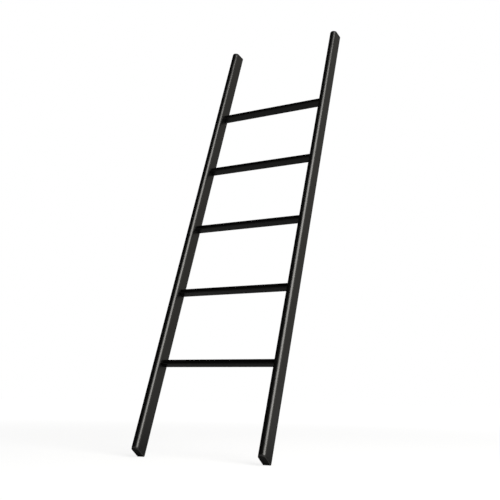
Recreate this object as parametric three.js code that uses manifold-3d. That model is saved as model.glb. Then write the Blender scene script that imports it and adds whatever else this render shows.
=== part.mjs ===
// Bunk bed ladder: two round-nosed steel rails with flat oval steel rungs welded between them.
// Millimetres, +Z up, +Y towards the bed. The ladder leans back as it does in use.

import * as THREE from 'three';
import { mergeVertices } from 'three/addons/utils/BufferGeometryUtils.js';
import Module from 'manifold-3d';

// How the ladder stands
const LEAN_ANGLE = 20;

// Rails, measured in a rail's own section and along it
const RAIL_SPACING = 420;
const RAIL_WIDTH = 25;
const RAIL_DEPTH = 50;
const RAIL_WALL = 1.5;
const RAIL_BACK_RADIUS = 2.5;
const END_BEVEL_ANGLE = 15;

// Rungs, with the pitch along the rails
const RUNG_COUNT = 5;
const RUNG_PITCH = 250;
const HEEL_TO_LOWEST_RUNG = 292;
const HIGHEST_RUNG_TO_TOP = 338;
const RUNG_DEPTH = 30;
const RUNG_HEIGHT = 15;
const RUNG_EDGE_RADIUS = 3.5;
const RUNG_WALL = 1.2;
const RUNG_TAIL = 5;

// Weld bead round each end of each rung
const WELD_LEG = 3.5;
const WELD_CROWN = 0.5;

// End caps and feet, pushed into the open ends of the rails
const TOP_FLANGE = 3.5;
const FOOT_FLANGE = 4.5;
const FLANGE_INSET = 0.4;
const PLUG_LENGTH = 18;
const PLUG_WALL = 2;
const GRIP_RIB_COUNT = 3;
const GRIP_RIB_HEIGHT = 0.7;
const GRIP_RIB_WIDTH = 1.6;
const SOLE_CUT = 2.6;

// Clearances and fineness
const SEAT_GAP = 0.3;
const FIT_GAP = 0.3;
const LEAST_RADIUS = 0.4;
const NOSE_STEPS = 32;
const CORNER_STEPS = 5;
const BEAD_STEPS = 4;

// Values worked out from the sizes above. The rungs sit in the middle of the rails' flat inner sides.
const rungSpan = (RUNG_COUNT - 1) * RUNG_PITCH;
const railLength = HEEL_TO_LOWEST_RUNG + rungSpan + HIGHEST_RUNG_TO_TOP;
const railInnerFace = RAIL_SPACING / 2 - RAIL_WIDTH / 2;
const bevelSlope = Math.tan(THREE.MathUtils.degToRad(END_BEVEL_ANGLE));
const bevelStretch = 1 / Math.cos(THREE.MathUtils.degToRad(END_BEVEL_ANGLE));
const leanRadians = THREE.MathUtils.degToRad(LEAN_ANGLE);
const backFace = RAIL_DEPTH / 2;
const frontFace = -RAIL_DEPTH / 2;
const flatFront = frontFace + RAIL_WIDTH / 2;
const flatBack = backFace - RAIL_BACK_RADIUS;
const rungMiddle = (flatFront + flatBack) / 2;
const plugInset = RAIL_WALL + FIT_GAP + GRIP_RIB_HEIGHT;

const wasm = await Module();
wasm.setup();

// Closed three.js geometry to a solid that can be joined and cut.
function toSolid(geometry) {
  const bare = geometry.clone();
  bare.deleteAttribute('normal');
  bare.deleteAttribute('uv');
  const merged = mergeVertices(bare, 1e-4);
  const vertProperties = new Float32Array(merged.attributes.position.array);
  const triVerts = new Uint32Array(merged.index.array);
  return new wasm.Manifold(new wasm.Mesh({ numProp: 3, vertProperties, triVerts }));
}

// Solid back to a three.js geometry.
function toGeometry(solid) {
  const mesh = solid.getMesh();
  const geometry = new THREE.BufferGeometry();
  geometry.setAttribute('position', new THREE.BufferAttribute(new Float32Array(mesh.vertProperties), 3));
  geometry.setIndex(new THREE.BufferAttribute(new Uint32Array(mesh.triVerts), 1));
  geometry.computeVertexNormals();
  return geometry;
}

// Points of an arc, both ends included.
function arc(centreX, centreY, radius, fromDegrees, toDegrees, steps) {
  const points = [];
  for (let i = 0; i <= steps; i++) {
    const angle = THREE.MathUtils.degToRad(fromDegrees + ((toDegrees - fromDegrees) * i) / steps);
    points.push(new THREE.Vector2(centreX + radius * Math.cos(angle), centreY + radius * Math.sin(angle)));
  }
  return points;
}

// Rail section seen from above: round nose in front, flat sides, small radii at the back.
function railOutline(inset) {
  const half = RAIL_WIDTH / 2 - inset;
  const back = backFace - inset;
  const corner = Math.max(RAIL_BACK_RADIUS - inset, LEAST_RADIUS);
  return [
    ...arc(0, flatFront, half, 180, 360, NOSE_STEPS),
    ...arc(half - corner, back - corner, corner, 0, 90, CORNER_STEPS),
    ...arc(corner - half, back - corner, corner, 90, 180, CORNER_STEPS),
  ];
}

// Rung section seen from its end: a flat oval, wider than it is high, grown outwards by a margin.
function rungOutline(grow) {
  const halfDepth = RUNG_DEPTH / 2 + grow;
  const halfHeight = RUNG_HEIGHT / 2 + grow;
  const corner = Math.max(RUNG_EDGE_RADIUS + grow, LEAST_RADIUS);
  return [
    ...arc(halfDepth - corner, halfHeight - corner, corner, 0, 90, CORNER_STEPS),
    ...arc(corner - halfDepth, halfHeight - corner, corner, 90, 180, CORNER_STEPS),
    ...arc(corner - halfDepth, corner - halfHeight, corner, 180, 270, CORNER_STEPS),
    ...arc(halfDepth - corner, corner - halfHeight, corner, 270, 360, CORNER_STEPS),
  ];
}

// Straight prism along +Z over an outline in X and Y.
function uprightPrism(points, bottom, top) {
  const options = { depth: top - bottom, bevelEnabled: false };
  return new THREE.ExtrudeGeometry(new THREE.Shape(points), options).translate(0, 0, bottom);
}

// Straight prism along +X over an outline in Y and Z.
function crosswisePrism(points, left, right) {
  const turn = new THREE.Matrix4().makeBasis(
    new THREE.Vector3(0, 1, 0),
    new THREE.Vector3(0, 0, 1),
    new THREE.Vector3(1, 0, 0),
  );
  return uprightPrism(points, left, right).applyMatrix4(turn);
}

// Height of an end's sloping face at a given depth: the back of the rail is the longer side.
function endHeight(atTop, depth) {
  const fromBack = (backFace - depth) * bevelSlope;
  return atTop ? railLength - fromBack : fromBack;
}

// Slab between two planes that run parallel to an end's sloping face.
// Their distances from the end are measured square to that face, into the rail.
function endSlab(atTop, outer, inner) {
  const inwards = atTop ? -bevelStretch : bevelStretch;
  const reach = RAIL_DEPTH;
  const corners = [
    [-reach, outer],
    [reach, outer],
    [reach, inner],
    [-reach, inner],
  ];
  const points = corners.map(([depth, distance]) => new THREE.Vector2(
    depth,
    endHeight(atTop, depth) + distance * inwards,
  ));
  return toSolid(crosswisePrism(points, -RAIL_WIDTH, RAIL_WIDTH));
}

// Height of a rung's middle along the rails, counted from the lowest rung.
function rungHeight(index) {
  return HEEL_TO_LOWEST_RUNG + index * RUNG_PITCH;
}

// Hollow rail with sloping ends and a slot in its inner wall for each rung.
// The side is -1 for the left rail and +1 for the right one.
function railGeometry(side) {
  const outside = toSolid(uprightPrism(railOutline(0), 0, railLength));
  const inside = toSolid(uprightPrism(railOutline(RAIL_WALL), -RAIL_DEPTH, railLength + RAIL_DEPTH));
  let rail = outside.subtract(inside);
  rail = rail.subtract(endSlab(false, -RAIL_DEPTH, FOOT_FLANGE + SEAT_GAP));
  rail = rail.subtract(endSlab(true, -RAIL_DEPTH, TOP_FLANGE + SEAT_GAP));
  const slotCentre = (-side * RAIL_WIDTH) / 2;
  const slotReach = 2 * RAIL_WALL;
  for (let i = 0; i < RUNG_COUNT; i++) {
    const slot = crosswisePrism(rungOutline(FIT_GAP), slotCentre - slotReach, slotCentre + slotReach);
    rail = rail.subtract(toSolid(slot.translate(0, rungMiddle, rungHeight(i))));
  }
  return toGeometry(rail);
}

// Hollow rung whose tails reach through the inner walls of both rails.
function rungGeometry() {
  const half = railInnerFace + RAIL_WALL + RUNG_TAIL;
  const outside = toSolid(crosswisePrism(rungOutline(0), -half, half));
  const bore = toSolid(crosswisePrism(rungOutline(-RUNG_WALL), -half - RUNG_TAIL, half + RUNG_TAIL));
  return toGeometry(outside.subtract(bore));
}

// Weld bead: a fillet that runs round the rung where it meets the rail's inner face at x = 0.
// It grows towards +X, away from the face.
function weldGeometry() {
  const low = SEAT_GAP;
  const section = [new THREE.Vector2(low, low)];
  for (let i = 0; i <= BEAD_STEPS; i++) {
    const share = i / BEAD_STEPS;
    const crown = WELD_CROWN * Math.sin(Math.PI * share);
    section.push(new THREE.Vector2(low + WELD_LEG * share + crown, low + WELD_LEG * (1 - share) + crown));
  }
  const rings = section.map((point) => rungOutline(point.y).map((p) => [point.x, p.x, p.y]));
  const around = rings[0].length;
  const positions = rings.flat(2);
  const indices = [];
  for (let r = 0; r < rings.length; r++) {
    const next = (r + 1) % rings.length;
    for (let i = 0; i < around; i++) {
      const j = (i + 1) % around;
      indices.push(r * around + i, r * around + j, next * around + i);
      indices.push(r * around + j, next * around + j, next * around + i);
    }
  }
  const geometry = new THREE.BufferGeometry();
  geometry.setAttribute('position', new THREE.Float32BufferAttribute(positions, 3));
  geometry.setIndex(indices);
  geometry.computeVertexNormals();
  return geometry;
}

// Cap for a rail's end: a flange over the sloping end and a hollow ribbed plug inside the tube.
function capSolid(atTop, flangeThickness) {
  const bottom = -RAIL_DEPTH;
  const top = railLength + RAIL_DEPTH;
  const column = (inset) => toSolid(uprightPrism(railOutline(inset), bottom, top));
  const plugEnd = flangeThickness + PLUG_LENGTH;
  const flange = column(FLANGE_INSET).intersect(endSlab(atTop, 0, flangeThickness));
  const plug = column(plugInset).intersect(endSlab(atTop, flangeThickness / 2, plugEnd));
  let cap = flange.add(plug);
  const ribPitch = PLUG_LENGTH / (GRIP_RIB_COUNT + 1);
  for (let i = 1; i <= GRIP_RIB_COUNT; i++) {
    const middle = flangeThickness + i * ribPitch;
    const slab = endSlab(atTop, middle - GRIP_RIB_WIDTH / 2, middle + GRIP_RIB_WIDTH / 2);
    cap = cap.add(column(RAIL_WALL + FIT_GAP).intersect(slab));
  }
  const hollow = column(plugInset + PLUG_WALL).intersect(endSlab(atTop, flangeThickness, 2 * plugEnd));
  return cap.subtract(hollow);
}

// Foot: the same cap with its heel cut level, so that it stands flat while the ladder leans.
function footSolid() {
  const levelDown = Math.tan(leanRadians);
  const cutAtBack = SOLE_CUT / Math.cos(leanRadians);
  const reach = RAIL_DEPTH;
  const level = (depth) => cutAtBack + (depth - backFace) * levelDown;
  const ground = [
    new THREE.Vector2(-reach, level(-reach)),
    new THREE.Vector2(-reach, level(-reach) - RAIL_DEPTH),
    new THREE.Vector2(reach, level(-reach) - RAIL_DEPTH),
    new THREE.Vector2(reach, level(reach)),
  ];
  return capSolid(false, FOOT_FLANGE).subtract(toSolid(crosswisePrism(ground, -RAIL_WIDTH, RAIL_WIDTH)));
}

function paint(color, roughness, metalness) {
  return new THREE.MeshStandardMaterial({ color, roughness, metalness });
}

const powderCoat = paint(0x1c1c1b, 0.42, 0.2);
const capPlastic = paint(0x141414, 0.6, 0);
const footRubber = paint(0x111111, 0.85, 0);

const ladder = new THREE.Group();

function place(name, geometry, material, x, y, z) {
  const mesh = new THREE.Mesh(geometry, material);
  mesh.name = name;
  mesh.position.set(x, y, z);
  ladder.add(mesh);
  return mesh;
}

const rungShape = rungGeometry();
const weldShape = weldGeometry();
const topCapShape = toGeometry(capSolid(true, TOP_FLANGE));
const footShape = toGeometry(footSolid());

for (const [sideName, side] of [['left', -1], ['right', 1]]) {
  const x = (side * RAIL_SPACING) / 2;
  place(`${sideName}_rail`, railGeometry(side), powderCoat, x, 0, 0);
  place(`${sideName}_top_cap`, topCapShape, capPlastic, x, 0, 0);
  place(`${sideName}_foot`, footShape, footRubber, x, 0, 0);
}
for (let i = 0; i < RUNG_COUNT; i++) {
  const height = rungHeight(i);
  place(`rung_${i + 1}`, rungShape, powderCoat, 0, rungMiddle, height);
  place(`left_weld_${i + 1}`, weldShape, powderCoat, -railInnerFace, rungMiddle, height);
  place(`right_weld_${i + 1}`, weldShape, powderCoat, railInnerFace, rungMiddle, height)
    .rotation.z = Math.PI;
}

// Lean the ladder back and stand it on its heels, centred over the origin.
ladder.rotation.x = -leanRadians;
const box = new THREE.Box3().setFromObject(ladder, true);
ladder.position.y = -(box.min.y + box.max.y) / 2;
ladder.position.z = -box.min.z;

const part = new THREE.Group();
part.add(ladder);

export default part;
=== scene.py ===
# %% [markdown]
# # A bunk bed ladder in black steel
# This lesson dresses a finished CAD model of a ladder. It gives every piece a smooth shape and a
# real finish, then lights and photographs it. The CAD model is a fixed frame: its pieces stay
# where they are, and everything made here is in metres in the same frame. +Z is up, +Y points
# at the bed, and the ladder leans back on it.

# %% Load the frame
import math

import bmesh
import bpy
from mathutils import Matrix, Vector


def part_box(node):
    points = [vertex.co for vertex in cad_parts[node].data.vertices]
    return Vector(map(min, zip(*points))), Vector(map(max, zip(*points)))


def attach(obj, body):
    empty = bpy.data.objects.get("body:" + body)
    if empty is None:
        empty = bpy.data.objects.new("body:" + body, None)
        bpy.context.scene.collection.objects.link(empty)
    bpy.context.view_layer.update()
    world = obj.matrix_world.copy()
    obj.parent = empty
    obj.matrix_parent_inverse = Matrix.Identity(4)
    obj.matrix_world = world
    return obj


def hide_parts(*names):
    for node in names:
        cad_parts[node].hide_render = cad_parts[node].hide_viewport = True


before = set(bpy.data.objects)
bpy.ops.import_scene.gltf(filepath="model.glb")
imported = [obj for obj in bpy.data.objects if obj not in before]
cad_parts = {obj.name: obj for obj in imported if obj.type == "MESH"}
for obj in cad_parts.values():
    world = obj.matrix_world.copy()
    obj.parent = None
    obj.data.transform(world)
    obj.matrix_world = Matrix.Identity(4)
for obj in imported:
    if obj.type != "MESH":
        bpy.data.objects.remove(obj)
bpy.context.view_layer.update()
print(len(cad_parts), "CAD nodes, box in metres:")

# %% [markdown]
# ## The ladder's own measurements
# A ladder is drawn lying along its rails, not leaning. Its pieces could be drawn on the slope,
# but then every height would need a sine and a cosine. So each piece is first made in the
# ladder's own frame, where +Z runs up the rails, Y = 0 is the middle of a rail's depth and Z = 0
# is the heel. The sizes repeat those of the CAD model. One matrix then leans the finished mesh
# back, and it is hung on the place where the frame says that the lowest rung is.

# %% Sizes of the ladder
RAIL_APART = 0.420
RAIL_WIDTH = 0.025
RAIL_DEPTH = 0.050
RAIL_LENGTH = 1.630
RAIL_WALL = 0.0015
RAIL_BACK_RADIUS = 0.0025
END_BEVEL = math.radians(15)

RUNG_COUNT = 5
RUNG_PITCH = 0.250
LOWEST_RUNG = 0.292
RUNG_DEPTH = 0.030
RUNG_HEIGHT = 0.015
RUNG_RADIUS = 0.0035
RUNG_WALL = 0.0012
RUNG_TAIL = 0.005

TOP_FLANGE = 0.0035
FOOT_FLANGE = 0.0045
SMALL_GAP = 0.0003
LEAN = math.radians(20)

inner_face = (RAIL_APART - RAIL_WIDTH) / 2
rung_middle = (RAIL_WIDTH / 2 - RAIL_BACK_RADIUS) / 2
bevel_slope = math.tan(END_BEVEL)
bevel_stretch = 1 / math.cos(END_BEVEL)

# %% Lean the ladder back
turn_back = Matrix.Rotation(-LEAN, 4, "X")
rung_low, rung_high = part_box("rung_1")
rung_place = turn_back @ Vector((0, rung_middle, LOWEST_RUNG))
stand = Matrix.Translation((rung_low + rung_high) / 2 - rung_place) @ turn_back
heel = stand @ Vector((0, RAIL_DEPTH / 2, 0))
print("the heel corner stands at", [round(v, 5) for v in heel])

# %% [markdown]
# ## The camera
# The photograph was taken from low down on the right, with the camera tipped up. Such a view
# could be set by eye, by moving the camera until the picture looks right. Here it was measured
# instead: the four edges of the rails and the ends of the ladder were matched to the picture, so
# that a rail in the render lies on the rail in the photograph. The camera stands 19 cm above the
# floor.

# %% Camera
PHOTO_WIDTH = 500
FOCAL_PIXELS = 712.8
SENSOR_WIDTH = 36
CAMERA_PLACE = (1.1009, -2.0650, 0.1859)
CAMERA_TURN = (101.506, -1.056, 27.67)

lens = bpy.data.cameras.new("camera")
lens.sensor_width = SENSOR_WIDTH
lens.lens = FOCAL_PIXELS / PHOTO_WIDTH * SENSOR_WIDTH
camera = bpy.data.objects.new("camera", lens)
camera.location = CAMERA_PLACE
camera.rotation_euler = [math.radians(v) for v in CAMERA_TURN]
bpy.context.scene.collection.objects.link(camera)
bpy.context.scene.camera = camera
bpy.context.scene.view_settings.view_transform = "Standard"
print("lens", round(lens.lens, 2), "mm")

# %% [markdown]
# ## Writing node trees as sums
# Both materials and Geometry Nodes are trees of small boxes. They could be wired by hand, but
# then a sum of four terms is twelve lines of links that nobody can read. So a Wire stands for
# one output, and a sum written with it adds the Math nodes. Every other node comes from
# Sheet.add, which takes the node's type, its settings and what its sockets get.

# %% Wire
class Wire:
    """One output of a node. A sum written with it adds Math nodes to the same sheet."""

    def __init__(self, sheet, socket):
        self.sheet = sheet
        self.socket = socket

    def other(self, name):
        """Another output of the same node."""
        return Wire(self.sheet, self.socket.node.outputs[name])

    def math(self, operation, first, second=0.0):
        values = {0: first, 1: second}
        return self.sheet.add("ShaderNodeMath", {"operation": operation}, values)

    def cosine(self):
        return self.math("COSINE", self)

    def __add__(self, value):
        return self.math("ADD", self, value)

    def __sub__(self, value):
        return self.math("SUBTRACT", self, value)

    def __rsub__(self, value):
        return self.math("SUBTRACT", value, self)

    def __mul__(self, value):
        return self.math("MULTIPLY", self, value)

    def __truediv__(self, value):
        return self.math("DIVIDE", self, value)

    def __gt__(self, value):
        return self.math("GREATER_THAN", self, value)

    def __lt__(self, value):
        return self.math("LESS_THAN", self, value)

    __radd__ = __add__
    __rmul__ = __mul__


# %% Sheet
class Sheet:
    """A node tree that is written down line by line."""

    def __init__(self, tree):
        self.tree = tree

    def add(self, kind, settings=None, values=None, out=0):
        """Adds a node, sets it up, fills or links its sockets and returns one of its outputs."""
        node = self.tree.nodes.new(kind)
        for name, value in (settings or {}).items():
            setattr(node, name, value)
        for name, value in (values or {}).items():
            for item in value if isinstance(value, list) else [value]:
                if isinstance(item, Wire):
                    self.tree.links.new(item.socket, node.inputs[name])
                else:
                    node.inputs[name].default_value = item
        return Wire(self, node.outputs[out]) if node.outputs else None

    def position(self):
        """The X, Y and Z of each point as three wires."""
        split = self.add("ShaderNodeSeparateXYZ", None, {0: self.add("GeometryNodeInputPosition")})
        return split, split.other("Y"), split.other("Z")

    def vector(self, x=0.0, y=0.0, z=0.0):
        return self.add("ShaderNodeCombineXYZ", None, {"X": x, "Y": y, "Z": z})

    def choose(self, test, if_true, if_false):
        """One number or the other, by a test that is 1 or 0."""
        return test * if_true + (1 - test) * if_false


# %% [markdown]
# ## Material: satin black powder coat
# Powder coat is plastic dust that is melted onto the steel. It flows almost smooth, but keeps a
# faint orange peel about two millimetres across, and finer grit in its gloss. Paint shops never
# reach quite the same gloss everywhere either, so roughness drifts slowly along a rail. A flat
# black would look like a hole, and scanned paint would need a UV map. Three noises are enough:
# one for the peel, one for the grit and one for the drift. They read Object coordinates, which
# here are metres, so that their scales are real sizes.

# %% Helpers for materials
def new_material(name, base_color, roughness, specular):
    """A material with one Principled shader. Returns the material, its sheet and that shader."""
    material = bpy.data.materials.new(name)
    material.use_nodes = True
    shader = material.node_tree.nodes["Principled BSDF"]
    shader.inputs["Base Color"].default_value = (*base_color, 1)
    shader.inputs["Roughness"].default_value = roughness
    shader.inputs["Specular IOR Level"].default_value = specular
    return material, Sheet(material.node_tree), shader


def noise(sheet, place, size, detail=2.0, roughness=0.5):
    """Noise whose blotches are about one size across, in metres. Its mean is a half."""
    values = {"Vector": place, "Scale": 1 / size, "Detail": detail, "Roughness": roughness}
    return sheet.add("ShaderNodeTexNoise", None, values)


def shade(sheet, dark, light, share):
    """A colour between two others, each given as numbers or as a wire."""
    first, second = (c if isinstance(c, Wire) else (*c, 1) for c in (dark, light))
    values = {0: share, 6: first, 7: second}
    return sheet.add("ShaderNodeMix", {"data_type": "RGBA"}, values, out=2)


def feed(sheet, shader, name, wire):
    sheet.tree.links.new(wire.socket, shader.inputs[name])


def bump(sheet, shader, height, depth, strength):
    """Turns a height from 0 to 1 into relief of a given depth in metres."""
    values = {"Height": height, "Distance": depth, "Strength": strength}
    feed(sheet, shader, "Normal", sheet.add("ShaderNodeBump", None, values))


# %% Powder coat
PEEL_SIZE = 0.0022
GRIT_SIZE = 0.0004
DRIFT_SIZE = 0.09
PEEL_DEPTH = 0.0001
PEEL_STRENGTH = 0.4
COAT_DARK = (0.0006, 0.0006, 0.0005)
COAT_LIGHT = (0.0014, 0.0013, 0.0012)


def powder_coat(name, specular):
    """The material, its sheet and its shader, and wires for its colour and its roughness."""
    material, sheet, shader = new_material(name, (0.001, 0.001, 0.0009), 0.31, specular)
    place = sheet.add("ShaderNodeTexCoord").other("Object")
    peel = noise(sheet, place, PEEL_SIZE, detail=1.0)
    grit = noise(sheet, place, GRIT_SIZE)
    drift = noise(sheet, place, DRIFT_SIZE, detail=3.0)
    bump(sheet, shader, peel * 0.85 + grit * 0.15, PEEL_DEPTH, PEEL_STRENGTH)
    color = shade(sheet, COAT_DARK, COAT_LIGHT, drift * 0.7 + grit * 0.3)
    return material, sheet, shader, color, 0.24 + drift * 0.09 + grit * 0.05


satin_coat, sheet, shader, color, roughness = powder_coat("satin_black_coat", 1.0)
feed(sheet, shader, "Base Color", color)
feed(sheet, shader, "Roughness", roughness)
print(satin_coat.name, "has", len(sheet.tree.nodes), "nodes")

# %% [markdown]
# ## Material: the coat on the rungs
# In the photograph the rungs look flatter than the rails. They are sprayed with the same powder,
# but it is trodden on and wiped, so it mirrors less, and their upper faces are rubbed dull and
# slightly grey where feet stand. The worn places could be painted by hand on each rung. A mask
# does it for all five at once: it finds the upper faces by the direction that they face, and
# noise breaks it up.

# %% Trodden coat
TOP_FACES_FROM = 0.75
TOP_FACES_FULL = 0.92
SMEAR_SIZE = 0.012
SMEAR_STRETCH = (0.3, 1.0, 1.0)
WORN_GREY = (0.014, 0.0135, 0.0125)


def ramp(sheet, value, start, end, top=1.0):
    """Rises softly from 0 to a top while the value goes from start to end."""
    values = {"Value": value, "From Min": start, "From Max": end, "To Max": top}
    return sheet.add("ShaderNodeMapRange", {"interpolation_type": "SMOOTHSTEP"}, values)


trodden_coat, sheet, shader, color, roughness = powder_coat("trodden_black_coat", 0.5)
normal = sheet.add("ShaderNodeTexCoord", out="Normal")
facing_up = sheet.add("ShaderNodeSeparateXYZ", None, {0: normal}).other("Z")
upward = ramp(sheet, facing_up, TOP_FACES_FROM, TOP_FACES_FULL)
values = {0: normal.other("Object"), 1: SMEAR_STRETCH}
stretched = sheet.add("ShaderNodeVectorMath", {"operation": "MULTIPLY"}, values)
rubbed = upward * noise(sheet, stretched, SMEAR_SIZE, detail=4.0, roughness=0.6)
feed(sheet, shader, "Base Color", shade(sheet, color, WORN_GREY, rubbed * 0.8))
feed(sheet, shader, "Roughness", roughness + upward * 0.2 + rubbed * 0.4)
print(trodden_coat.name, "has", len(sheet.tree.nodes), "nodes")

# %% [markdown]
# ## Materials: moulded cap and rubber foot
# The cap is injection moulded in a spark-eroded tool, which leaves an even, matt grain. The foot
# is softer and duller. Its grain is coarser and pitted, and where it stands on the floor it picks
# up a little dust, so it gets paler over the lowest few millimetres. Both could share one matt
# black, but a close look tells plastic from rubber by the grain, so the cap gets fine noise and
# the foot gets the rounded cells of a Voronoi texture.

# %% Cap plastic
CAP_GRAIN_SIZE = 0.0005
CAP_GRAIN_DEPTH = 0.00006
CAP_DARK = (0.005, 0.005, 0.005)
CAP_LIGHT = (0.011, 0.011, 0.0107)

cap_plastic, sheet, shader = new_material("matt_cap_moulding", (0.008, 0.008, 0.008), 0.8, 0.08)
place = sheet.add("ShaderNodeTexCoord").other("Object")
grain = noise(sheet, place, CAP_GRAIN_SIZE, detail=3.0, roughness=0.6)
cloud = noise(sheet, place, 0.02)
feed(sheet, shader, "Base Color", shade(sheet, CAP_DARK, CAP_LIGHT, grain * 0.6 + cloud * 0.4))
feed(sheet, shader, "Roughness", 0.72 + grain * 0.16)
bump(sheet, shader, grain, CAP_GRAIN_DEPTH, 0.6)
print(cap_plastic.name, "has", len(sheet.tree.nodes), "nodes")

# %% Foot rubber
PITS_PER_METRE = 1100.0
PIT_DEPTH = 0.00015
DUST_TOP = 0.007
DUST_FULL = 0.001
RUBBER = (0.018, 0.018, 0.017)
DUSTY = (0.05, 0.047, 0.043)

foot_rubber, sheet, shader = new_material("matt_foot_moulding", (0.02, 0.02, 0.019), 0.8, 0.5)
place = sheet.add("ShaderNodeTexCoord").other("Object")
values = {"Vector": place, "Scale": PITS_PER_METRE}
pits = sheet.add("ShaderNodeTexVoronoi", {"feature": "SMOOTH_F1"}, values)
cloud = noise(sheet, place, 0.012, detail=4.0)
height = sheet.add("ShaderNodeSeparateXYZ", None, {0: place}).other("Z")
dust = ramp(sheet, height + cloud * 0.004, DUST_TOP, DUST_FULL) * (0.3 + cloud * 0.7)
feed(sheet, shader, "Base Color", shade(sheet, RUBBER, DUSTY, dust))
feed(sheet, shader, "Roughness", 0.72 + cloud * 0.15)
bump(sheet, shader, pits * 0.7 + cloud * 0.3, PIT_DEPTH, 0.6)
print(foot_rubber.name, "has", len(sheet.tree.nodes), "nodes")

# %% [markdown]
# ## Helpers for Geometry Nodes
# A tube, a row of rungs and a row of beads follow rules, so a tree of nodes can make them from
# a few sizes. Mesh code could too, but a tree's named inputs can be tried out with the mouse, and
# one tree serves both rails. Its result is turned into a plain mesh, because instances and
# modifiers are lost when the object is exported.

# %% Begin and end a tree
def new_tree(name, inputs):
    """A Geometry Nodes tree with number inputs. Returns its sheet and the inputs as wires."""
    tree = bpy.data.node_groups.new(name, "GeometryNodeTree")
    kinds = {int: "NodeSocketInt", float: "NodeSocketFloat"}
    for label, value in inputs.items():
        tree.interface.new_socket(label, in_out="INPUT", socket_type=kinds[type(value)])
    tree.interface.new_socket("Mesh", in_out="OUTPUT", socket_type="NodeSocketGeometry")
    sheet = Sheet(tree)
    first = sheet.add("NodeGroupInput")
    return sheet, {label: first.other(label) for label in inputs}


def end_tree(sheet, mesh, material, sharp_over=math.radians(30)):
    """Smooth shading with crisp edges, then the material, as the last steps of a tree."""
    whole = sheet.add("GeometryNodeRealizeInstances", None, {"Geometry": mesh})
    crisp = sheet.add("GeometryNodeInputMeshEdgeAngle") > sharp_over
    passes = ("FACE", True, True), ("EDGE", True, True), ("EDGE", crisp, False)
    for domain, chosen, smooth in passes:
        values = {"Geometry": whole, "Selection": chosen, "Shade Smooth": smooth}
        whole = sheet.add("GeometryNodeSetShadeSmooth", {"domain": domain}, values)
    whole = sheet.add("GeometryNodeSetMaterial", None, {"Geometry": whole, "Material": material})
    sheet.add("NodeGroupOutput", None, {"Mesh": whole})


# %% Grow a mesh from a tree and hand it over
def grow(name, sheet, sizes):
    """Runs a tree with these sizes and keeps the result as a plain mesh."""
    piece = bpy.data.objects.new(name, bpy.data.meshes.new(name))
    bpy.context.scene.collection.objects.link(piece)
    modifier = piece.modifiers.new("build", "NODES")
    modifier.node_group = sheet.tree
    for item in sheet.tree.interface.items_tree:
        if item.in_out == "INPUT":
            modifier[item.identifier] = sizes[item.name]
    piece.modifiers.new("even shading", "WEIGHTED_NORMAL").keep_sharp = True
    evaluated = piece.evaluated_get(bpy.context.evaluated_depsgraph_get())
    mesh = bpy.data.meshes.new_from_object(evaluated)
    piece.modifiers.clear()
    piece.data = mesh
    return piece


def finish_piece(piece, nodes):
    """Hangs the piece on the root body, hides the CAD nodes it stands for, and prints whether it
    is closed.
    """
    shape = bmesh.new()
    shape.from_mesh(piece.data)
    faces = len(shape.faces)
    open_edges = sum(1 for edge in shape.edges if not edge.is_manifold)
    volume = shape.calc_volume(signed=True) * 1e6
    shape.free()
    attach(piece, "root")
    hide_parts(*nodes)
    print(f"{piece.name}: {faces} faces, {open_edges} open edges, {volume:.1f} cm3")


# %% [markdown]
# ## The rails
# Each rail is a steel tube with a round nose in front and square sides, cut off at a slope at
# both ends, with a slot in its inner wall for each rung. It could be modelled face by face, but a
# tube's section never changes along it, so a tree sweeps the section along a line. The tree
# works as the fitter does: it makes a bar, bores it out with a smaller bar, and cuts the slots.

# %% Bars, rows and cuts
def rounded_bar(sheet, width, depth, front_radius, back_radius, start, end, steps=16):
    """A closed bar along +Z, or along the line from start to end, with its own corner radii."""
    values = {"Width": width, "Height": depth}
    kind = "GeometryNodeCurvePrimitiveQuadrilateral"
    section = sheet.add(kind, {"mode": "RECTANGLE"}, values)
    radius = sheet.choose(sheet.position()[1] < 0.0, front_radius, back_radius)
    values = {"Curve": section, "Count": steps, "Radius": radius, "Limit Radius": True}
    section = sheet.add("GeometryNodeFilletCurve", {"mode": "POLY"}, values)
    values = {"Start": start, "End": end}
    line = sheet.add("GeometryNodeCurvePrimitiveLine", {"mode": "POINTS"}, values)
    values = {"Curve": line, "Profile Curve": section, "Fill Caps": True}
    return sheet.add("GeometryNodeCurveToMesh", None, values)


def row_of(sheet, thing, given):
    """Repeats a thing up the ladder, once for each rung."""
    start = sheet.vector(y=rung_middle, z=given["Lowest Rung"])
    step = sheet.vector(z=given["Pitch"])
    values = {"Count": given["Rungs"], "Start Location": start, "Offset": step}
    points = sheet.add("GeometryNodeMeshLine", {"mode": "OFFSET"}, values)
    copies = sheet.add("GeometryNodeInstanceOnPoints", None, {"Points": points, "Instance": thing})
    return sheet.add("GeometryNodeRealizeInstances", None, {"Geometry": copies})


def cut(sheet, thing, cutters):
    settings = {"operation": "DIFFERENCE", "solver": "EXACT"}
    return sheet.add("GeometryNodeMeshBoolean", settings, {"Mesh 1": thing, "Mesh 2": cutters})


# %% Sizes for the rail tree
NOSE_SHARE = 0.4998  # of the width: a full half would make the two arcs meet in one point
NOSE_STEPS = 28
SLOT_STEPS = 10
BORE_OVERSHOOT = 0.1

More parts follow.
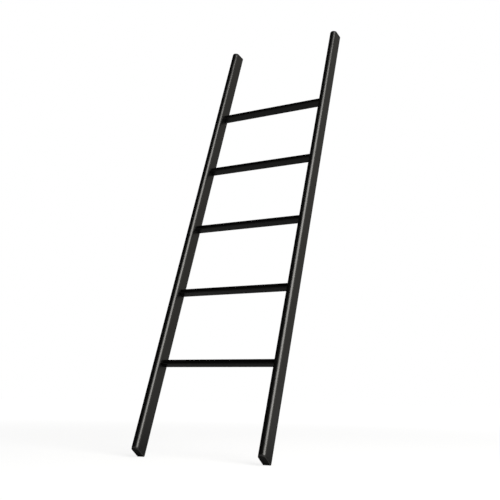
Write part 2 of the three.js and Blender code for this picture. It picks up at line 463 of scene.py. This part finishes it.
rail_sizes = {
    "Side": 1.0,
    "Width": RAIL_WIDTH,
    "Depth": RAIL_DEPTH,
    "Wall": RAIL_WALL,
    "Back Radius": RAIL_BACK_RADIUS,
    "Length": RAIL_LENGTH,
    "Bevel Slope": bevel_slope,
    "Foot Room": (FOOT_FLANGE + SMALL_GAP) * bevel_stretch,
    "Cap Room": (TOP_FLANGE + SMALL_GAP) * bevel_stretch,
    "Rungs": RUNG_COUNT,
    "Lowest Rung": LOWEST_RUNG,
    "Pitch": RUNG_PITCH,
    "Slot Depth": RUNG_DEPTH + 2 * SMALL_GAP,
    "Slot Height": RUNG_HEIGHT + 2 * SMALL_GAP,
    "Slot Radius": RUNG_RADIUS + SMALL_GAP,
}
rail_tree, given = new_tree("rail tube", rail_sizes)
print("the rail tree has", len(given), "inputs")

# %% The bar, cut to its two slopes
width, depth, wall = given["Width"], given["Depth"], given["Wall"]
top = rail_tree.vector(z=given["Length"])
nose = width * NOSE_SHARE
back_radius = given["Back Radius"]
bar = rounded_bar(rail_tree, width, depth, nose, back_radius, (0, 0, 0), top, NOSE_STEPS)

x, y, z = rail_tree.position()
from_back = (depth * 0.5 - y) * given["Bevel Slope"]
top_height = given["Length"] - from_back - given["Cap Room"]
new_height = rail_tree.choose(z > 0.5, top_height, from_back + given["Foot Room"])
values = {"Geometry": bar, "Position": rail_tree.vector(x, y, new_height)}
bar = rail_tree.add("GeometryNodeSetPosition", None, values)
print("the bar takes", len(rail_tree.tree.nodes), "nodes")

# %% The bore and the slots
bore_width = width - wall * 2
bore_depth = depth - wall * 2
bore_nose = bore_width * NOSE_SHARE
bore_corner = back_radius - wall
bore_ends = (0, 0, -BORE_OVERSHOOT), rail_tree.vector(z=given["Length"] + BORE_OVERSHOOT)
bore = rounded_bar(
    rail_tree, bore_width, bore_depth, bore_nose, bore_corner, *bore_ends, NOSE_STEPS
)

slot_middle = given["Side"] * width * -0.5
slot_ends = [rail_tree.vector(slot_middle + wall * reach) for reach in (-2.0, 2.0)]
slot_size = given["Slot Depth"], given["Slot Height"], given["Slot Radius"], given["Slot Radius"]
slot = rounded_bar(rail_tree, *slot_size, *slot_ends, SLOT_STEPS)

tube = cut(rail_tree, bar, [bore, row_of(rail_tree, slot, given)])
values = {"Geometry": tube, "Translation": rail_tree.vector(given["Side"] * (RAIL_APART / 2))}
end_tree(rail_tree, rail_tree.add("GeometryNodeTransform", None, values), satin_coat)
print("the whole rail takes", len(rail_tree.tree.nodes), "nodes")

# %% Two rails
for side_name, side in (("left", -1.0), ("right", 1.0)):
    rail = grow(f"{side_name}_rail_tube", rail_tree, {**rail_sizes, "Side": side})
    rail.data.transform(stand)
    finish_piece(rail, [f"{side_name}_rail"])

# %% [markdown]
# ## The rungs
# The five rungs are lengths of one flat oval tube. They could be five objects with five meshes,
# but they are all alike, so one tree makes a rung and repeats it up the ladder. A rung is longer
# than the gap between the rails, because its tails reach through the slots.

# %% The rung tree
rung_sizes = {
    "Rungs": RUNG_COUNT,
    "Lowest Rung": LOWEST_RUNG,
    "Pitch": RUNG_PITCH,
    "Half Span": inner_face + RAIL_WALL + RUNG_TAIL,
    "Depth": RUNG_DEPTH,
    "Height": RUNG_HEIGHT,
    "Radius": RUNG_RADIUS,
    "Wall": RUNG_WALL,
}
sheet, given = new_tree("row of rungs", rung_sizes)
radius, wall = given["Radius"], given["Wall"]
ends = [sheet.vector(given["Half Span"] * way) for way in (-1.0, 1.0)]
past_ends = [sheet.vector(given["Half Span"] * way) for way in (-1.1, 1.1)]
bar = rounded_bar(sheet, given["Depth"], given["Height"], radius, radius, *ends)
bore_depth = given["Depth"] - wall * 2
bore_height = given["Height"] - wall * 2
bore_radius = radius - wall
bore = rounded_bar(sheet, bore_depth, bore_height, bore_radius, bore_radius, *past_ends)
end_tree(sheet, row_of(sheet, cut(sheet, bar, [bore]), given), trodden_coat)

rungs = grow("rungs", sheet, rung_sizes)
rungs.data.transform(stand)
finish_piece(rungs, [f"rung_{i + 1}" for i in range(RUNG_COUNT)])

# %% [markdown]
# ## The weld beads
# A welder runs one small bead round each end of each rung. The bead freezes in ripples, one for
# each dip of the wire, and the powder coat later softens them. A bump map could draw them, but
# then the bead's outline would stay smooth. A bead follows a path, so a tree sweeps its
# quarter-round section round the rung's outline and lets a cosine along the path swell and
# shrink it. No ripple makes it larger than the bead of the CAD model.

# %% The path round a rung
BEAD_POINTS = 252
BEAD_CORNER_STEPS = 12
BEAD_ARC_POINTS = 9
BEAD_FLATTEN = 0.2  # presses the bead's round face flatter between its two legs
BEAD_WOBBLE_SCALE = 260.0
BEAD_SHARP_OVER = math.radians(60)

bead_sizes = {
    "Rungs": RUNG_COUNT,
    "Lowest Rung": LOWEST_RUNG,
    "Pitch": RUNG_PITCH,
    "Rail Face": inner_face,
    "Depth": RUNG_DEPTH,
    "Height": RUNG_HEIGHT,
    "Radius": RUNG_RADIUS,
    "Leg": 0.0035,
    "Gap": SMALL_GAP,
    "Ripples": 42.0,
    "Ripple": 0.07,
    "Seed": 7.0,
}
sheet, given = new_tree("weld beads", bead_sizes)
values = {"Width": given["Depth"], "Height": given["Height"]}
path = sheet.add("GeometryNodeCurvePrimitiveQuadrilateral", {"mode": "RECTANGLE"}, values)
values = {"Curve": path, "Count": BEAD_CORNER_STEPS, "Radius": given["Radius"]}
path = sheet.add("GeometryNodeFilletCurve", {"mode": "POLY"}, {**values, "Limit Radius": True})
values = {"Curve": path, "Count": BEAD_POINTS}
path = sheet.add("GeometryNodeResampleCurve", {"mode": "COUNT"}, values)
path = sheet.add("GeometryNodeSetCurveNormal", {"mode": "Z_UP"}, {"Curve": path})
print("a bead has", BEAD_POINTS, "sections for", int(bead_sizes["Ripples"]), "ripples")

# %% The rippled bead
wave = (sheet.add("GeometryNodeSplineParameter") * given["Ripples"] * (2 * math.pi)).cosine()
place = sheet.add("GeometryNodeInputPosition")
values = {"Vector": place, "W": given["Seed"], "Scale": BEAD_WOBBLE_SCALE, "Detail": 1.0}
unsteady = sheet.add("ShaderNodeTexNoise", {"noise_dimensions": "4D"}, values)
swell = 1 - given["Ripple"] * (0.5 - wave * 0.5) * (0.6 + unsteady * 0.8)

quarter = math.pi / 2
leg = given["Leg"]
values = {"Resolution": BEAD_ARC_POINTS, "Radius": leg, "Connect Center": True}
values.update({"Start Angle": -quarter, "Sweep Angle": quarter})
section = sheet.add("GeometryNodeCurveArc", {"mode": "RADIUS"}, values)
x, y, z = sheet.position()
flatten = 1 + x * y * BEAD_FLATTEN / (leg * leg)
place = sheet.vector(x * flatten + given["Gap"], y * flatten - given["Gap"])
section = sheet.add("GeometryNodeSetPosition", None, {"Geometry": section, "Position": place})
values = {"Curve": path, "Profile Curve": section, "Scale": swell}
bead = sheet.add("GeometryNodeCurveToMesh", None, values)
print("one bead takes", len(sheet.tree.nodes), "nodes")

# %% Ten beads
upright = {"Rotation": (quarter, 0, quarter), "Translation": sheet.vector(given["Rail Face"])}
right_end = sheet.add("GeometryNodeTransform", None, {"Geometry": bead, **upright})
ends = [
    sheet.add("GeometryNodeTransform", None, {"Geometry": right_end, "Rotation": (0, 0, turn)})
    for turn in (math.pi, 0)
]
pair = sheet.add("GeometryNodeJoinGeometry", None, {"Geometry": ends})
end_tree(sheet, row_of(sheet, pair, given), satin_coat, BEAD_SHARP_OVER)

beads = grow("weld_beads", sheet, bead_sizes)
beads.data.transform(stand)
bead_nodes = [f"{side}_weld_{i + 1}" for side in ("left", "right") for i in range(RUNG_COUNT)]
finish_piece(beads, bead_nodes)

# %% [markdown]
# ## Caps and feet
# Both are moulded plugs: a flange covers the sloping end of the rail, and a ribbed plug grips
# inside the tube. They could be cut from blocks with booleans, as the rail is. But every part of
# the plug follows the rail's outline, only further in, so it is made like a pot on a wheel: a
# list of steps says how far in and how deep each ring lies, and the rings are bridged. A rounded
# lip on the flange catches the light as a thin line.

# %% The outline of a ring
NOSE_ARC_STEPS = 56
CORNER_ARC_STEPS = 10
LEAST_CORNER = 0.0004


def rail_outline(inset):
    """Points of the rail's section, drawn smaller by an inset."""
    half = RAIL_WIDTH / 2 - inset
    back = RAIL_DEPTH / 2 - inset
    corner = max(RAIL_BACK_RADIUS - inset, LEAST_CORNER)
    arcs = [
        (0, RAIL_WIDTH / 2 - RAIL_DEPTH / 2, half, 180, 360, NOSE_ARC_STEPS),
        (half - corner, back - corner, corner, 0, 90, CORNER_ARC_STEPS),
        (corner - half, back - corner, corner, 90, 180, CORNER_ARC_STEPS),
    ]
    points = []
    for middle_x, middle_y, radius, start, end, steps in arcs:
        for i in range(steps + 1):
            angle = math.radians(start + (end - start) * i / steps)
            across = middle_x + radius * math.cos(angle)
            points.append((across, middle_y + radius * math.sin(angle)))
    return points


print("a ring has", len(rail_outline(0)), "points")

# %% The steps of a plug
LIP_INSET = 0.0004
LIP_STEPS = 6
FLANGE_BEVEL = 0.0003
PLUG_LENGTH = 0.018
PLUG_WALL = 0.002
RIB_COUNT = 3
RIB_HEIGHT = 0.0007
RIB_HALF_ROOT = 0.0008
RIB_HALF_CREST = 0.0005
CAP_LIP = 0.0008
FOOT_LIP = 0.0018


def plug_steps(flange, lip):
    """How far in and how deep each ring of a plug lies, from the outer face to the hollow."""
    crest = RAIL_WALL + SMALL_GAP
    root = crest + RIB_HEIGHT
    hollow = root + PLUG_WALL
    steps = []
    for i in range(LIP_STEPS + 1):
        angle = math.radians(90 * i / LIP_STEPS)
        steps.append((LIP_INSET + lip * (1 - math.sin(angle)), lip * (1 - math.cos(angle))))
    steps += [(LIP_INSET, flange - FLANGE_BEVEL), (LIP_INSET + FLANGE_BEVEL, flange)]
    steps += [(root, flange)]
    for i in range(1, RIB_COUNT + 1):
        rib = flange + PLUG_LENGTH * i / (RIB_COUNT + 1)
        steps += [(root, rib - RIB_HALF_ROOT), (crest, rib - RIB_HALF_CREST)]
        steps += [(crest, rib + RIB_HALF_CREST), (root, rib + RIB_HALF_ROOT)]
    end = flange + PLUG_LENGTH
    return steps + [(root, end), (hollow, end), (hollow, flange)]


print("a cap has", len(plug_steps(TOP_FLANGE, CAP_LIP)), "rings")


# %% A level sole
def cut_level(shape):
    """Cuts off what is below the floor, and closes the cut with a level sole."""
    everything = shape.verts[:] + shape.edges[:] + shape.faces[:]
    floor_plane = {"plane_co": (0, 0, 0), "plane_no": (0, 0, 1)}
    bmesh.ops.bisect_plane(shape, geom=everything, clear_inner=True, **floor_plane)
    bmesh.ops.holes_fill(shape, edges=[edge for edge in shape.edges if edge.is_boundary])


# %% Smooth faces and crisp edges
def smooth_object(name, shape, material, sharp_over=math.radians(30)):
    """Turns a closed shape into an object with smooth faces and crisp edges."""
    bmesh.ops.recalc_face_normals(shape, faces=shape.faces[:])
    for edge in shape.edges:
        edge.smooth = edge.calc_face_angle(0) < sharp_over
    for face in shape.faces:
        face.smooth = True
    mesh = bpy.data.meshes.new(name)
    shape.to_mesh(mesh)
    shape.free()
    mesh.materials.append(material)
    piece = bpy.data.objects.new(name, mesh)
    bpy.context.scene.collection.objects.link(piece)
    return piece


# %% Bridge the rings
def end_piece(name, at_top, flange, lip, side, material):
    """A cap or a foot on one rail, made ring by ring and leant back with the ladder."""
    shape = bmesh.new()
    rings = []
    for inset, depth in plug_steps(flange, lip):
        ring = []
        for x, y in rail_outline(inset):
            height = (RAIL_DEPTH / 2 - y) * bevel_slope + depth * bevel_stretch
            if at_top:
                height = RAIL_LENGTH - height
            place = stand @ Vector((x + side * RAIL_APART / 2, y, height))
            ring.append(shape.verts.new(place))
        rings.append(ring)
    for lower, upper in zip(rings, rings[1:]):
        for i in range(len(lower)):
            j = (i + 1) % len(lower)
            shape.faces.new((lower[i], lower[j], upper[j], upper[i]))
    shape.faces.new(rings[0])
    shape.faces.new(rings[-1])
    if not at_top:
        cut_level(shape)
    return smooth_object(name, shape, material)


# %% Two caps and two feet
for side_name, side in (("left", -1), ("right", 1)):
    cap = end_piece(f"{side_name}_cap", True, TOP_FLANGE, CAP_LIP, side, cap_plastic)
    finish_piece(cap, [f"{side_name}_top_cap"])
    foot = end_piece(f"{side_name}_rubber_foot", False, FOOT_FLANGE, FOOT_LIP, side, foot_rubber)
    finish_piece(foot, [f"{side_name}_foot"])

# %% [markdown]
# ## Floor and room
# The photograph has a pure white ground. More light would turn the floor white, but it would
# also wash out the black ladder. So the floor is painted a pale grey, glows for the camera alone
# and shows almost white, but it keeps the ladder's soft shadow. Further out it fades to the white
# of the room, so that no horizon shows.
#
# The camera sees a white room all round. The coat mirrors another one: in the photograph its
# sides show a dim grey wall on the right, its left edges show darkness, which draws a black
# line down each rail, and the lowest rungs show a darker floor under the ladder. That darker
# floor is a painted shadow: close to the ladder the floor's colour is made darker for mirrored
# rays only. Light Path tells the kinds of ray apart, so floor and room have one strength for
# what the camera sees, one for what the coat mirrors, a little warm as in the photograph, and
# one for the plain light.

# %% Floor
MIRRORED_TINT = (1.035, 1.0, 0.91)
WHITE = (1, 1, 1)
FLOOR_RADIUS = 14
FLOOR_SHADES = (0.26, 0.26, 0.26), (0.28, 0.28, 0.28)
# reach and depth of a painted shadow on the floor under the ladder, seen only in reflections
PAINTED_SHADOW_REACH = (0.95, 0.25)
PAINTED_SHADOW_DEPTH = 0.6
FADE_TO_ROOM = (0.8, 5.0)
GLOW_SEEN = 0.776
GLOW_SEEN_FAR = 0.16
GLOW_MIRRORED_FAR = 0.13


def scaled(sheet, color, factor):
    """A colour made darker or brighter."""
    values = {0: color, "Scale": factor}
    return sheet.add("ShaderNodeVectorMath", {"operation": "SCALE"}, values)


floor_mesh = bpy.data.meshes.new("floor")
shape = bmesh.new()
bmesh.ops.create_circle(shape, cap_ends=True, segments=96, radius=FLOOR_RADIUS)
shape.to_mesh(floor_mesh)
shape.free()
floor = bpy.data.objects.new("floor", floor_mesh)
bpy.context.scene.collection.objects.link(floor)
print("floor:", 2 * FLOOR_RADIUS, "m across")

# %% Floor paint
floor_paint, sheet, shader = new_material("pale_floor", (0.27, 0.27, 0.27), 0.9, 0.1)
place = sheet.add("ShaderNodeTexCoord").other("Object")
reach = sheet.add("ShaderNodeVectorMath", {"operation": "LENGTH"}, {0: place}, out="Value")
painted_shadow_share = ramp(sheet, reach, *PAINTED_SHADOW_REACH)
far = ramp(sheet, reach, *FADE_TO_ROOM)
rays = sheet.add("ShaderNodeLightPath")
mirrored = rays.other("Is Glossy Ray")
shown = rays + rays.other("Is Transmission Ray")
paint = shade(sheet, *FLOOR_SHADES, noise(sheet, place, 0.004, detail=3.0))
# painted shadow: close to the ladder the floor's colour is made darker for mirrored rays only
paint = scaled(sheet, paint, 1 - mirrored * painted_shadow_share * PAINTED_SHADOW_DEPTH)
feed(sheet, shader, "Base Color", paint)
glow = shown * (GLOW_SEEN + far * GLOW_SEEN_FAR) + mirrored * far * GLOW_MIRRORED_FAR
tint = shade(sheet, WHITE, MIRRORED_TINT, mirrored)
feed(sheet, shader, "Emission Color", scaled(sheet, tint, glow))
shader.inputs["Emission Strength"].default_value = 1.0

from_below = sheet.add("ShaderNodeNewGeometry").other("Backfacing")
clear = sheet.add("ShaderNodeBsdfTransparent")
values = {0: from_below, 1: Wire(sheet, shader.outputs[0]), 2: clear}
surface = sheet.add("ShaderNodeMixShader", None, values)
feed(sheet, sheet.tree.nodes["Material Output"], "Surface", surface)
floor_mesh.materials.append(floor_paint)
print(floor_paint.name, "has", len(sheet.tree.nodes), "nodes")

# %% Room
TOWARDS_WALL = (0.985, 0.174, 0.0)
WALL_EDGE = (0.1, 0.45, 0.18)
WALL_MIDDLE = (0.6, 1.0, 0.2)
DARK_SIDE = 0.002
PLAIN_LIGHT = 0.45

room = bpy.data.worlds.new("room")
bpy.context.scene.world = room
room.use_nodes = True
sheet = Sheet(room.node_tree)
rays = sheet.add("ShaderNodeLightPath")
mirrored = rays.other("Is Glossy Ray")
shown = rays + rays.other("Is Transmission Ray")
values = {0: sheet.add("ShaderNodeTexCoord").other("Generated"), 1: TOWARDS_WALL}
to_right = sheet.add("ShaderNodeVectorMath", {"operation": "DOT_PRODUCT"}, values, out="Value")
grey_wall = ramp(sheet, to_right, *WALL_EDGE) + ramp(sheet, to_right, *WALL_MIDDLE)
unseen = mirrored * (grey_wall + DARK_SIDE) + (1 - mirrored) * PLAIN_LIGHT
background = sheet.tree.nodes["Background"]
feed(sheet, background, "Strength", shown + (1 - shown) * unseen)
feed(sheet, background, "Color", shade(sheet, WHITE, MIRRORED_TINT, mirrored))
print(room.name, "has", len(sheet.tree.nodes), "nodes")

# %% [markdown]
# ## The lamp
# One large softbox stands in front on the right and reaches from table height to far above the
# ladder. A small lamp would do for the light, but on satin black a lamp is seen as its
# reflection: the softbox's size is what makes the broad grey line down each round nose. Its light
# is a little warm, as the greys in the photograph are.

# %% Softbox
WARM_WHITE = (1.0, 0.983, 0.935)
LAMP_AZIMUTH = math.radians(65)
LAMP_ELEVATION = math.radians(29)
LAMP_DISTANCE = 3.2
LAMP_WIDTH = 2.2
LAMP_HEIGHT = 3.7
LAMP_WATTS = 114
LAMP_AIM = Vector((0, 0, 0.75))

lamp = bpy.data.lights.new("key_light", "AREA")
lamp.shape = "RECTANGLE"
lamp.size = LAMP_WIDTH
lamp.size_y = LAMP_HEIGHT
lamp.energy = LAMP_WATTS
lamp.color = WARM_WHITE
level = math.cos(LAMP_ELEVATION)
to_lamp = Vector((
    math.sin(LAMP_AZIMUTH) * level,
    -math.cos(LAMP_AZIMUTH) * level,
    math.sin(LAMP_ELEVATION),
))
softbox = bpy.data.objects.new("key_light", lamp)
softbox.location = LAMP_AIM + to_lamp * LAMP_DISTANCE
softbox.rotation_euler = (-to_lamp).to_track_quat("-Z", "Y").to_euler()
bpy.context.scene.collection.objects.link(softbox)
print("softbox at", [round(v, 2) for v in softbox.location], "with", LAMP_WATTS, "W")
